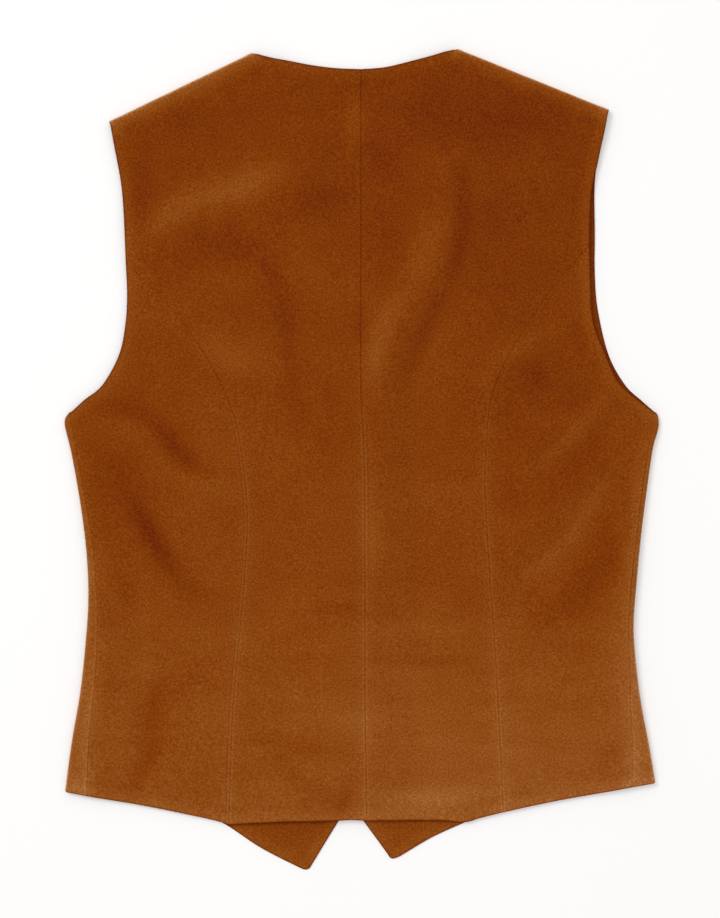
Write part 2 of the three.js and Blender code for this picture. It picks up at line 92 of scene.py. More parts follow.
LEFT = {
    "word": "left",
    "side": -1,
    "neck_point": (-89.4, 333.6),
    "shoulder_tip": (-207.5, 277.4),
    "neck": [(-0.8, 320.5), (-21.3, 321.3), (-41, 323.7), (-60.7, 327.2), (-73, 329.2)],
    "upper_armhole": [(-203.2, 258.1), (-197.4, 226), (-195, 196.6), (-193.6, 162)],
    "princess": [
        (-193.6, 162), (-164, 131.9), (-139.4, 102.3), (-115.6, 62.2), (-102, 24.4),
        (-94.8, -29.7), (-94.8, -74.8), (-99.8, -137.9), (-106, -207.6), (-109.2, -299),
    ],
    "lower_armhole": [
        (-193.6, 162), (-192.5, 135.1), (-194, 110.5), (-199.2, 85.9), (-212.7, 61.3), (-227.6, 49),
    ],
    "hem": [(4, -295.2), (-9.8, -294.8), (-19, -295.4), (-60, -296.6), (-109.2, -299)],
    "side_hem": [(-109.2, -299), (-119.5, -296), (-139.4, -291.6), (-178.8, -283.6), (-225, -275.6)],
    "side_fold": [
        (39, -241.4, 3, 4.4), (33, -243.8, 4.8, 4.6), (27, -243.6, 5.9, 4.8), (10, -239.3, 4.7, 5.6),
        (-15, -234.4, 4.6, 6.4), (-45, -229.5, 5.3, 7.2), (-80, -225.5, 6, 7.6),
        (-115, -224.3, 7.5, 7.6), (-150, -226.6, 9.8, 7.4), (-190, -231, 11.3, 7),
        (-230, -237.9, 14, 6.2), (-271, -243.5, 17.8, 5.4),
    ],
    "front_edge": [
        (-64, 230), (-30, 130), (-2, 72), (4.9, 45), (4.9, -100),
        (4.9, -240), (2, -266), (-18.6, -295.7), (-41.6, -333), (-43.3, -335.5), (-45.5, -336.4),
    ],
    "front_armhole": [
        (-195, 236), (-190.5, 200), (-189, 160), (-189.5, 128),
        (-192.5, 100), (-203.4, 73.4), (-212.4, 61.4), (-227.2, 48.8),
    ],
    "front_hem": [
        (-45.5, -336.4), (-47.9, -336.2), (-52, -334.5), (-82.8, -318.7),
        (-109.4, -301.1), (-124, -294), (-178.8, -282.6),
    ],
}

RIGHT = {
    "word": "right",
    "side": 1,
    "neck_point": (77.5, 337.1),
    "shoulder_tip": (202.5, 286.8),
    "neck": [(-0.8, 320.5), (18, 322), (37.7, 326.3), (57.4, 331.2), (67, 334.1)],
    "upper_armhole": [(198.9, 270.4), (193.8, 246.3), (187.9, 215.5), (186.6, 176)],
    "princess": [
        (186.6, 176), (157, 141.7), (137.5, 114.2), (117.9, 81.3), (105.5, 47.4), (101, -3),
        (101.7, -43.6), (105, -97.3), (109, -155), (112.8, -222), (116, -289),
    ],
    "lower_armhole": [
        (186.6, 176), (187.3, 146.6), (189.6, 113.3), (200.8, 84.1), (209.1, 65.4), (219.3, 54.8),
    ],
    "hem": [(4, -295.2), (40, -295.2), (65.6, -295.6), (84.5, -297), (96.8, -293.7), (116, -289)],
    "side_hem": [(116, -289), (155.8, -280.4), (195.2, -273.3), (221.2, -268.4)],
    "side_fold": [
        (39, 242.6, 3, 4.4), (28, 243.4, 5.6, 4.8), (10, 238.7, 4.2, 5.6),
        (-25, 233.5, 4.2, 6.4), (-60, 229, 4, 7.2), (-98, 225.3, 4.8, 7.6),
        (-136, 222.6, 4.6, 7.6), (-165, 224.5, 5.6, 7.4), (-198, 228.7, 9, 7),
        (-234, 235.5, 14, 6.2), (-264, 240.6, 19.4, 5.4),
    ],
    "front_edge": [
        (46, 230), (10, 130), (-18, 72), (-24.6, 45), (-24.6, -100),
        (-24.6, -238), (-21, -264), (0, -294.5), (21.4, -324.2), (22.9, -326.5), (24.9, -327.4),
    ],
    "front_armhole": [
        (193, 246), (190.9, 221.2), (191.1, 184.3), (191.1, 153),
        (193.6, 122.8), (202.5, 85.9), (216.1, 61.3), (229, 49),
    ],
    "front_hem": [
        (24.9, -327.4), (27.4, -327), (31.5, -325.3), (57.1, -310.1),
        (84.7, -297.6), (100, -291.6), (155.8, -279.4),
    ],
}

# Folds of the back, the same ones as its solids have: a line through three
# points, half its width, and its height, below nothing for a trough.
FOLDS = [
    ((-192, 187), (-149, 221), (-82, 249), 17, 2.4),
    ((-216, 40), (-170, 26), (-125, -17), 12, 3.4),
    ((-191, -35), (-170, -82), (-149, -115), 12, 3.2),
    ((74, 256), (76, 180), (21, 86), 15, 3),
    ((115, 71), (147, 89), (179, 98), 11, -1.8),
    ((130, 8), (172, 36), (206, 48), 12, 1.8),
    ((138, -21), (179, 4), (212, 32), 11, -1.4),
    ((130, -62), (171, -29), (205, 8), 13, 2.4),
    ((130, -99), (179, -78), (213, -30), 12, -1.5),
    ((-67, 156), (-51, 82), (-47, 16), 15, -1),
    ((-40, -115), (39, -148), (89, -154), 13, 1.2),
    ((-161, -180), (-174, -222), (-186, -262), 12, -1),
    ((-8, -258), (-18, -279), (-26, -297), 11, -1.4),
]
# The fronts have the same folds mirrored, as high as the back leaves them room, and the same
# strokes of nap and painted fold shade, fainter.
FRONT_FOLDS = {"high": 0.35, "room": 0.8, "tone_and_shade": 0.45}
MIRRORED = (-1, 1)
FOLD_END_SHARE = 0.35
STROKE_REACH = 3

# Turned edges, the groove where two panels are sewn, and the stitched welt beside it.
EDGE = {"round": 0.75, "thinnest": 0.14, "band": 6.5, "band_fade": 2, "band_high": 0.25}
GROOVE = {"deep": 0.24, "half": 0.4, "ridge": 0.12, "ridge_at": 1.3, "ridge_half": 0.7}
WELT = {"stitch_at": 2.6, "stitch_deep": 0.16, "stitch_half": 0.4, "high": 0.1, "top": 60, "fade": 40}
SEAM_STRENGTH = {"centre": 1, "princess": 0.85, "side": 0.6, "shoulder": 0.6}
PRINCESS_FADES = {"from": 60, "to": 150, "least": 0.4}
SEAM_REACH = 12

# Slow unevenness of the hide: the size of its patches and its height.
UNEVEN = [(34, 0.32), (13, 0.1)]
LATTICE = 400


def ease(low, high, value):
    """0 at low, 1 at high, and smooth between them."""
    share = np.clip((value - low) / (high - low), 0, 1)
    return share * share * (3 - 2 * share)


def mix(first, second, share):
    return first + (second - first) * share


def bell(away, half):
    """1 at nothing, and soft and low beyond half its width."""
    return np.exp(-((away / half) ** 2))


def nearest(share, shares):
    """Which of a row of shares is the nearest to one."""
    return int(np.argmin(np.abs(shares - share)))


class Line:
    """A line in the plane. Its shares are parts of its length unless others are given."""

    def __init__(self, points, shares=None, corners=()):
        self.points = np.array(points, float)
        steps = np.hypot(*np.diff(self.points, axis=0).T)
        self.lengths = np.concatenate([[0], np.cumsum(steps)])
        self.length = self.lengths[-1]
        self.shares = self.lengths / self.length if shares is None else np.array(shares)
        self.corners = list(corners)

    def at(self, shares):
        return np.stack([np.interp(shares, self.shares, axis) for axis in self.points.T], axis=-1)

    def moved(self, distance):
        """The line moved across itself, to the right where it runs down the garment."""
        along = np.gradient(self.points, axis=0)
        along /= np.hypot(*along.T)[:, None]
        across = np.stack([-along[:, 1], along[:, 0]], axis=-1)
        return Line(self.points + distance * across, self.shares, self.corners)


def cubic(start, end, leave, arrive, t):
    """Places at t from 0 to 1 on a smooth way from start to end."""
    bent = (2 * start - 2 * end + leave + arrive) * t**3
    return bent + (3 * end - 3 * start - 2 * leave - arrive) * t**2 + leave * t + start


def curve(rows):
    """A smooth line through a few points."""
    rows = np.array(rows, float)
    last = len(rows) - 1
    t = np.linspace(0, 1, LINE_SAMPLES, endpoint=False)[:, None]
    points = []
    for i in range(last):
        start, end = rows[i], rows[i + 1]
        leave, arrive = (end - rows[max(i - 1, 0)]) / 2, (rows[min(i + 2, last)] - start) / 2
        longest = TANGENT_SHARE * math.hypot(*(end - start))
        leave *= min(1, longest / math.hypot(*leave))
        arrive *= min(1, longest / math.hypot(*arrive))
        points.append(cubic(start, end, leave, arrive, t))
    return Line(np.vstack([*points, rows[-1:]]))


def chain(*parts):
    """Lines joined end to end. Each comes with its cells, which set its share of the whole."""
    total = sum(cells for _, cells in parts)
    points, shares, corners = [parts[0][0].points[:1]], [[0]], []
    done, length = 0, 0
    for line, cells in parts:
        points.append(line.points[1:])
        shares.append((done + line.shares[1:] * cells) / total)
        done += cells
        length += line.length
        corners.append(length)
    return Line(np.vstack(points), np.concatenate(shares), corners[:-1])


def stations(line):
    """Shares of a line a cell apart, on its corners, and closer together near its ends."""
    edge = np.array(EDGE_STEPS)
    stops = [edge[-1], *line.corners, line.length - edge[-1]]
    places = [edge, line.length - edge]
    for start, end in zip(stops, stops[1:]):
        places.append(np.linspace(start, end, max(round((end - start) / CELL), 1) + 1))
    places = np.unique(np.concatenate(places).round(5))
    return np.interp(places, line.lengths, line.shares)


def distance_to(points, line, reach):
    """How far points are from a line, up to a reach, and how far along it they are."""
    flat = points.reshape(-1, 2)
    closest = np.full(len(flat), float(reach))
    along = np.zeros(len(flat))
    travelled = 0
    for first in range(0, len(line) - 1, LINE_GROUP):
        group = line[first : first + LINE_GROUP + 1]
        close = np.all((flat > group.min(0) - reach) & (flat < group.max(0) + reach), axis=1)
        own, near, place = flat[close], closest[close], along[close]
        for start, end in zip(group, group[1:]):
            step = end - start
            length = math.hypot(*step)
            if length == 0:
                continue
            share = np.clip((own - start) @ step / length**2, 0, 1)
            distance = np.hypot(*(own - start - share[:, None] * step).T)
            nearer = distance < near
            near = np.where(nearer, distance, near)
            place = np.where(nearer, travelled + share * length, place)
            travelled += length
        closest[close], along[close] = near, place
    return closest.reshape(points.shape[:-1]), along.reshape(points.shape[:-1])


def bend(start, by, end, count=24):
    """Points of a bow from start to end that leans to a third point."""
    t = np.linspace(0, 1, count)[:, None]
    return (1 - t) ** 2 * np.array(start) + 2 * t * (1 - t) * np.array(by) + t**2 * np.array(end)


def strokes(rows, points):
    """The sum of soft strokes, each a row of three points, half its width and its height."""
    total = np.zeros(points.shape[:-1])
    for start, by, end, wide, high in rows:
        line = bend(start, by, end)
        distance, along = distance_to(points, line, STROKE_REACH * wide)
        length = np.hypot(*np.diff(line, axis=0).T).sum()
        swell = mix(FOLD_END_SHARE, 1, np.sin(np.pi * along / length))
        total += high * swell * bell(distance, wide)
    return total


def unevenness(points, patch, seed):
    """Smooth random heights from -1 to 1, in patches of one size."""
    lattice = np.random.default_rng(seed).uniform(-1, 1, (LATTICE, LATTICE))
    place = points / patch + LATTICE / 2
    cell = np.floor(place).astype(int)
    share = place - cell
    share = share * share * (3 - 2 * share)
    x, y = cell[..., 0], cell[..., 1]
    low = mix(lattice[x, y], lattice[x + 1, y], share[..., 0])
    high = mix(lattice[x, y + 1], lattice[x + 1, y + 1], share[..., 0])
    return mix(low, high, share[..., 1])


def side_at(half, y):
    """The fold, strip and height of a side at each y."""
    rows = np.array(half["side_fold"], float)
    ys = rows[:, 0]
    y = np.clip(y, ys[-1], ys[0])
    lower = np.clip(np.searchsorted(-ys, -y), 1, len(ys) - 1)
    a, b, c, d = (np.clip(lower + k, 0, len(ys) - 1) for k in (-2, -1, 0, 1))
    step = ys[b] - ys[c]
    t = (ys[b] - y) / step
    columns = []
    for column in rows.T[1:]:
        leave = (column[c] - column[a]) * step / (ys[a] - ys[c])
        arrive = (column[d] - column[b]) * step / (ys[b] - ys[d])
        columns.append(cubic(column[b], column[c], leave, arrive, t))
    return columns


def button_lift(x, y):
    """How far the buttons hold the fronts off the surface."""
    highest = BUTTONS["lowest"] + BUTTONS["spacing"] * (BUTTONS["count"] - 1)
    across = 1 - ease(BUTTON_LIFT["flat"], BUTTON_LIFT["reach"], np.abs(x - FRONT_LINE_X))
    past = np.maximum(BUTTONS["lowest"] - y, y - highest)
    down = 1 - ease(BUTTON_LIFT["flat"], BUTTON_LIFT["taper"], past)
    return (BUTTON_THICK + LAYER_GAP) * across * down


def lap_lift(x, y):
    """The second thickness where the fronts lap, as the back feels it."""
    aside = np.maximum(LAP["left"] - x, x - LAP["right"])
    past = np.maximum(aside, np.maximum(LAP["low"] - y, y - LAP["high"]))
    return (WALL + LAP["gap"]) * (1 - ease(0, LAP["reach"], past))


def front_underside(half, x, y):
    """Height of the underside of a front. The right front lies on the left one."""
    lift = button_lift(x, y)
    if half is LEFT:
        return lift
    edge = np.array(LEFT["front_edge"], float)[::-1]
    past = x - np.interp(y, edge[:, 1], edge[:, 0])
    return lift + (WALL + LAP["gap"]) * (1 - ease(LAP["clear"], LAP["reach"], past))


def shoulder_of(half):
    """The neck end and tip of a shoulder, and the directions along it and out of it."""
    neck, tip = np.array(half["neck_point"]), np.array(half["shoulder_tip"])
    along = (tip - neck) / np.hypot(*(tip - neck))
    return neck, tip, along, half["side"] * np.array([-along[1], along[0]])


HEM = LEFT["side_hem"][::-1] + LEFT["hem"][::-1] + RIGHT["hem"] + RIGHT["side_hem"]


def back_height(half, place):
    """Height of the back's upper face, as its solids have it."""
    x, y = place[..., 0], place[..., 1]
    above_hem = y - np.interp(x, *np.array(HEM, float).T)
    even = mix(LIFT["at_hem"], LIFT["most"], ease(0, LIFT["hem_blend"], above_hem))
    lift = np.maximum(even + strokes(FOLDS, place), LIFT["least"])
    open_to = np.interp(y, (NECK_OPENING["foot"], NECK_OPENING["top"]), (0, NECK_OPENING["half_width"]))
    sag = NECK_OPENING["sag"] * ease(0, NECK_OPENING["margin"], open_to - np.abs(x - FRONT_LINE_X))
    lying = 2 * WALL + LAYER_GAP + lift + button_lift(x, y) + lap_lift(x, y) - sag

    neck, _, along, outward = shoulder_of(half)
    from_neck = place - neck
    below = -from_neck @ outward
    near_shoulder = 1 - ease(0, SHOULDER["blend"], below - SHOULDER["high"] / 2)
    near_shoulder = near_shoulder * ease(-SHOULDER["neck_blend"], 0, from_neck @ along)
    shouldered = mix(lying, SHOULDER["high"], near_shoulder)

    fold, strip, high = side_at(half, y)
    inside = half["side"] * (fold - x) - strip
    below_arm = 1 - ease(UNDERARM["y"], UNDERARM["y"] + UNDERARM["blend"], y)
    return mix(shouldered, high, (1 - ease(0, SIDE_BLEND, inside)) * below_arm)


def blended(top, bottom, inner, outer, across, down):
    """A grid of points between four lines, at each share across and down."""
    top, bottom, inner, outer = top.at(across), bottom.at(across), inner.at(down), outer.at(down)
    u, v = across[:, None], down[:, None]
    top = top + (1 - u) * (inner[0] - top[0]) + u * (outer[0] - top[-1])
    bottom = bottom + (1 - u) * (inner[-1] - bottom[0]) + u * (outer[-1] - bottom[-1])
    u, v = across[:, None, None], down[None, :, None]
    grid = (1 - v) * top[:, None] + v * bottom[:, None] + (1 - u) * inner[None] + u * outer[None]
    upper_corners = (1 - u) * (1 - v) * top[0] + u * (1 - v) * top[-1]
    return grid - (upper_corners + (1 - u) * v * bottom[0] + u * v * bottom[-1])


def raised(flat, height):
    return np.concatenate([flat, np.broadcast_to(height, flat.shape[:-1])[..., None]], axis=-1)


def back_centre(half):
    """Half of the back's middle, with the roll over the shoulder above its grid."""
    side, radius = half["side"], SHOULDER["high"] / 2
    neck_point, tip, along, outward = shoulder_of(half)
    bend_start = neck_point - radius * outward - NECK_CORNER["aside"] * along
    bend_end = tip - radius * outward
    neck, shoulder = curve([*half["neck"], bend_start]), Line([bend_start, bend_end])
    top = chain((neck, NECK_CELLS), (shoulder, SHOULDER_CELLS))
    inner = curve(CENTRE_SEAM).moved(side * SEAM_SHOWS / 2)
    armhole = curve([bend_end, *half["upper_armhole"]])
    princess = curve(half["princess"]).moved(-side * SEAM_SHOWS / 2)
    outer = chain((armhole, UPPER_ARMHOLE_CELLS), (princess, SEAM_CELLS))
    across, down = stations(top), stations(outer)
    flat = blended(top, curve(half["hem"]), inner, outer, across, down)

    run = SHOULDER["turn_under"] - radius
    steps = np.array([*(step for step in EDGE_STEPS if step < run), run])
    angles = np.linspace(math.pi, 0, ROLL_STEPS + 1)[1:-1]
    from_corner = np.hypot(*(flat[:, 0] - bend_start).T)[:, None]
    slanted = NECK_CORNER["back"] * np.clip(1 - from_corner / NECK_CORNER["fade"], 0, 1) ** 2 * along
    full = 1 - NECK_CORNER["pulled_in"] * np.clip(1 - from_corner / NECK_CORNER["round"], 0, 1) ** 2
    under = flat[:, 0] + slanted
    rows = []
    for face in (0, 1):
        reach = radius - face * WALL
        rolled = [raised(under - (run - step) * outward, face * WALL) for step in steps]
        for a in angles:
            slant = slanted * (1 if a > math.pi / 2 else math.sin(a))
            place = flat[:, 0] + slant + full * reach * math.sin(a) * outward
            rolled.append(raised(place, radius + reach * math.cos(a)))
        lying = raised(flat, back_height(half, flat) - face * WALL)
        rows.append(np.concatenate([np.stack(rolled, axis=1), lying], axis=1))
    unrolled = [*(radius * math.pi + run - steps), *(radius * angles)]
    above = np.stack([flat[:, 0] + out * outward for out in unrolled], axis=1)
    cut = np.concatenate([above, flat], axis=1)

    extra = len(unrolled)
    neck_end = nearest(NECK_CELLS / (NECK_CELLS + SHOULDER_CELLS), across)
    arm_end = extra + nearest(UPPER_ARMHOLE_CELLS / (UPPER_ARMHOLE_CELLS + SEAM_CELLS), down)
    filled = np.ones((len(across) - 1, cut.shape[1] - 1), bool)
    filled[:neck_end, :extra] = False
    return {
        "node": f"back_centre_{half['word']}",
        "outer": rows[0],
        "inner": rows[1],
        "cut": cut,
        "filled": filled,
        "free": [
            np.vstack([cut[: neck_end + 1, extra], cut[neck_end, :extra][::-1]]),
            cut[-1, : arm_end + 1],
            cut[:, -1],
        ],
        "seams": [
            (cut[0, extra:], "centre", side > 0),
            (cut[-1, arm_end:], "princess", False),
            (cut[neck_end:, 0], "shoulder", False),
        ],
        "roll_highlight": shoulder_highlight(neck_point, along, outward, cut),
        "front": False,
    }


def shoulder_highlight(neck_point, along, outward, cut):
    """A painted highlight along the roll over a shoulder, brightest where it turns under at its outline."""
    from_neck = cut - neck_point
    past_neck = ease(-SHOULDER_HIGHLIGHT["half"], 0, from_neck @ along)
    round_roll = from_neck @ outward + SHOULDER["high"] / 2
    light = bell(np.minimum(round_roll, 0), SHOULDER_HIGHLIGHT["half"])
    outline = SHOULDER["high"] / 2 * math.pi / 2
    line = bell(round_roll - outline, SHOULDER_HIGHLIGHT["line_half"])
    return past_neck * (SHOULDER_HIGHLIGHT["light"] * light + SHOULDER_HIGHLIGHT["line"] * line)


def side_lines(half):
    """The side seam on the back's face, and where the front leaves the surface for the fold."""
    share = np.linspace(0, 1, SIDE_SAMPLES * SEAM_CELLS + 1)
    first, last = half["side_fold"][0][0], half["side_fold"][-1][0]
    y = mix(first, last, share**SIDE_GROWTH)
    fold, strip, high = side_at(half, y)
    seam_y = y + (half["side_hem"][-1][1] - last) * share**SIDE_HEM_TURN
    seam = Line(np.stack([fold - half["side"] * strip, seam_y], axis=-1), share)
    return seam, Line(np.stack([fold - half["side"] * high / 2, y], axis=-1), share)


def back_side(half):
    """Half of the back's side, between the princess seam and the side seam."""
    shift = half["side"] * SEAM_SHOWS / 2
    inner = curve(half["princess"]).moved(shift)
    outer = side_lines(half)[0].moved(-shift)
    top = curve([*half["lower_armhole"], outer.points[0]])
    bottom = curve([*half["side_hem"][:-1], outer.points[-1]])
    across, down = stations(top), stations(inner)
    flat = blended(top, bottom, inner, outer, across, down)
    height = back_height(half, flat)
    return {
        "node": f"back_side_{half['word']}",
        "outer": raised(flat, height),
        "inner": raised(flat, height - WALL),
        "cut": flat,
        "filled": np.ones((len(across) - 1, len(down) - 1), bool),
        "free": [flat[:, 0], flat[:, -1]],
        "seams": [(flat[0], "princess", True), (flat[-1], "side", False)],
        "front": False,
    }


def front(half):
    """A front, flat on the surface, and wrapped up round the side fold below the arm."""
    side = half["side"]
    seam_line, bend_line = side_lines(half)
    seam_line = seam_line.moved(side * SEAM_SHOWS / 2)
    neck_point, tip, along, outward = shoulder_of(half)
    back_off = (SHOULDER["turn_under"] + SEAM_SHOWS) * outward + SHOULDER["front_shift"] * along
    ends = [neck_point - back_off, tip - back_off]
    armhole = curve([ends[1], *half["front_armhole"], bend_line.points[0]])
    outer = chain((armhole, FRONT_ARMHOLE_CELLS), (bend_line, SEAM_CELLS))
    inner = curve([ends[0], *half["front_edge"]])
    bottom = curve([*half["front_hem"], bend_line.points[-1]])
    top = Line(ends)
    across, down = stations(bottom), stations(outer)
    flat = blended(top, bottom, inner, outer, across, down)

    x, y = flat[..., 0], flat[..., 1]
    lifts = button_lift(x, y) + lap_lift(x, y)
    room = back_height(half, flat) - 2 * WALL - LAYER_GAP - lifts
    folds = np.minimum(strokes(FOLDS, flat * MIRRORED) * FRONT_FOLDS["high"], room * FRONT_FOLDS["room"])

    start = flat[-1]
    cells = FRONT_ARMHOLE_CELLS + SEAM_CELLS
    arm_end = nearest(FRONT_ARMHOLE_CELLS / cells, down)
    end = seam_line.at(np.clip((down * cells - FRONT_ARMHOLE_CELLS) / SEAM_CELLS, 0, 1))
    fold, _, high = side_at(half, start[:, 1])
    radius = high / 2
    length = np.abs(fold - end[:, 0]) + 2 * radius
    corner = UNDERARM["rounded"] * np.exp(np.minimum(start[:, 1] - UNDERARM["y"], 0) / UNDERARM["round"])
    faces = []
    for face in (0, 1):
        reach = radius - face * WALL
        columns = [raised(flat, front_underside(half, x, y) + np.maximum(folds, 0) + face * WALL)]
        for angle in np.linspace(0, math.pi, ROLL_STEPS + 1)[1:]:
            down_roll = mix(start[:, 1], end[:, 1], radius * angle / length)
            down_roll -= corner * math.sin(angle) ** 2
            out = start[:, 0] + side * reach * math.sin(angle)
            columns.append(np.stack([out, down_roll, radius - reach * math.cos(angle)], axis=-1)[None])
        last = columns[-1][0]
        gone = np.hypot(*(end - last[:, :2]).T)
        for left in STRIP_STEPS[::-1]:
            share = np.clip(1 - left / np.maximum(gone, TINY), STRIP_LEAST, 1)[:, None]
            share = np.where(left == 0, 1, share)
            columns.append(raised(mix(last[:, :2], end, share), last[:, 2])[None])
        faces.append(np.concatenate(columns))
    steps = np.hypot(*np.moveaxis(np.diff(faces[0][len(across) - 1 :, :, ::2], axis=0), -1, 0))
    unrolled = start[None] + side * np.cumsum(steps, axis=0)[..., None] * np.array([1, 0])
    cut = np.concatenate([flat, unrolled])
    filled = np.ones((cut.shape[0] - 1, cut.shape[1] - 1), bool)
    filled[len(across) - 1 :, :arm_end] = False
    wrap = cut[len(across) - 1 :, arm_end]
    # The roll round the side fold is painted lighter, a painted rim light brightest at the roll's outline,
    # and stronger on the right, which the light from the left reaches less.
    turned = np.arange(cut.shape[0]) - len(across) + 1
    rim = FRONT_TONE["rim"] * bell(turned / ROLL_STEPS - 0.5, FRONT_TONE["rim_share"])
    wrapped = ease(0, ROLL_STEPS / 2, turned) + rim
    return {
        "node": f"front_{half['word']}",
        "outer": faces[0],
        "inner": faces[1],
        "cut": cut,
        "filled": filled,
        "free": [cut[0], np.vstack([cut[len(across) - 1, :arm_end], wrap]), cut[:, -1]],
        "seams": [(cut[: len(across), 0], "shoulder", False), (cut[-1, arm_end:], "side", False)],
        "front": True,
        "wrapped": FRONT_TONE["wrapped"][half["word"]] * wrapped[:, None],
    }


def thinned(line, step=1.5):
    """A line with fewer points, for measuring distances to it."""
    line = Line(line)
    return line.at(np.linspace(0, 1, max(round(line.length / step), 2) + 1))


def patches(place, rows, first_seed):
    """The sum of soft patches of several sizes."""
    return sum(high * unevenness(place, size, first_seed + i) for i, (size, high) in enumerate(rows))


def finished(panel):
    """The panel's faces with rounded edges, sewn seams and unevenness, and how light they are, painted
    shade and highlights included.
    """
    cut, outer, inner = panel["cut"], panel["outer"], panel["inner"]
    middle, across = (outer + inner) / 2, outer - inner
    across /= np.linalg.norm(across, axis=-1, keepdims=True)
    edge = np.min([distance_to(cut, thinned(line), SEAM_REACH)[0] for line in panel["free"]], axis=0)
    inset = np.clip(1 - edge / EDGE["round"], 0, 1)
    half_wall = WALL / 2 * np.maximum(np.sqrt(1 - inset**2), EDGE["thinnest"])
    band = EDGE["band_high"] * (1 - ease(EDGE["band"], EDGE["band"] + EDGE["band_fade"], edge))

    lower = ease(-SEAM_TONE["side_from"], -SEAM_TONE["side_to"], -cut[..., 1])
    relief, seam_tone = np.zeros(edge.shape), np.zeros(edge.shape)
    for line, kind, welted in panel["seams"]:
        away, _ = distance_to(cut, thinned(line), SEAM_REACH)
        strength = SEAM_STRENGTH[kind]
        if kind == "princess":
            faded = ease(PRINCESS_FADES["from"], PRINCESS_FADES["to"], cut[..., 1])
            strength = strength * mix(1, PRINCESS_FADES["least"], faded)
        if kind == "side":
            strength = strength * ease(-UNDERARM["y"], -UNDERARM["seam_from"], -cut[..., 1])
        # Along each seam the groove is darker, painted shade, and a ridge beside it lighter, a painted
        # highlight.
        groove = strength * bell(away, GROOVE["half"])
        ridge = strength * bell(away - GROOVE["ridge_at"], GROOVE["ridge_half"])
        relief += GROOVE["ridge"] * ridge - GROOVE["deep"] * groove
        low = 1 - ease(WELT["top"] - WELT["fade"], WELT["top"], cut[..., 1])
        seam_tone += SEAM_TONE["ridge"] * ridge * mix(SEAM_TONE["high_ridge"], 1, low)
        seam_tone += groove * mix(SEAM_TONE["high_groove"], SEAM_TONE["low_groove"], low)
        # Along the side seam a lighter band, painted rim light, fuller towards the hem.
        if kind == "side":
            side_tone = SEAM_TONE["side_band"] * mix(SEAM_TONE["side_high"], 1, lower)
            seam_tone += side_tone * bell(away, SEAM_TONE["side_half"])
        else:
            seam_tone += low * SEAM_TONE["band"] * bell(away, SEAM_TONE["band_half"])
        stitch = low * bell(away - WELT["stitch_at"], WELT["stitch_half"])
        if not welted:
            seam_tone += strength * SEAM_TONE["faint_stitch"] * stitch
        else:
            flat_top = 1 - ease(GROOVE["ridge_half"], WELT["stitch_at"], away)
            relief += WELT["high"] * low * flat_top - WELT["stitch_deep"] * stitch
            seam_tone += SEAM_TONE["stitch"] * stitch
    # A dark line at the very edge, painted shade where the rounded edge turns away, and a lighter band
    # inside it.
    edge_tone = EDGE_TONE["line"] * bell(edge, EDGE_TONE["line_half"])
    edge_tone += EDGE_TONE["band"] * bell(edge - EDGE_TONE["band_at"], EDGE_TONE["band_half"])
    inner = middle - across * half_wall[..., None]
    if panel["front"]:
        outer = middle + across * (half_wall + np.minimum(relief, 0))[..., None]
        # Strokes of nap and painted fold shade and highlights, fainter on the fronts.
        tone_and_shade = strokes(FOLD_SHADE_AND_NAP, cut * MIRRORED) * FRONT_FOLDS["tone_and_shade"]
        # The roll round the side fold gets its painted rim light, stronger towards the hem.
        edge_tone = edge_tone + panel["wrapped"] * mix(FRONT_TONE["upper"], FRONT_TONE["lower"], lower)
        # A painted shadow on the front's inner face just under the back's hem, and the inner face darker
        # throughout.
        hem = distance_to(inner[..., :2], thinned(HEM), SEAM_REACH)[0]
        inside = FRONT_TONE["hem_shadow"] * bell(hem, FRONT_TONE["hem_half"]) + FRONT_TONE["inside"]
    else:
        # Strokes of nap and painted fold shade and highlights, which also raise a little relief.
        tone_and_shade = strokes(FOLD_SHADE_AND_NAP, outer[..., :2])
        creased = np.clip(tone_and_shade, -STROKE_RELIEF["deepest"], 1) * STROKE_RELIEF["high"]
        high = half_wall + band + relief + creased + patches(cut, UNEVEN, 0)
        outer = middle + across * high[..., None]
        inside = 0
    # The outer tone adds painted shade and highlights of edges, seams, folds and the shoulder roll to the
    # hide's own.
    outside = tone(outer) + edge_tone + seam_tone + tone_and_shade + panel.get("roll_highlight", 0)
    tones = outside, tone(inner) + edge_tone + inside
    outer[..., 2] = np.maximum(outer[..., 2], 0)
    inner[..., 2] = np.maximum(inner[..., 2], 0)
    return outer, inner, tones


def placed(name, data):
    made = bpy.data.objects.new(name, data)
    bpy.context.collection.objects.link(made)
    return made


def solid(name, points, faces):
    """A smooth mesh object, from points in millimetres."""
    mesh = bpy.data.meshes.new(name)
    mesh.from_pydata((points * MM).tolist(), [], faces)
    mesh.shade_smooth()
    return placed(name, mesh)


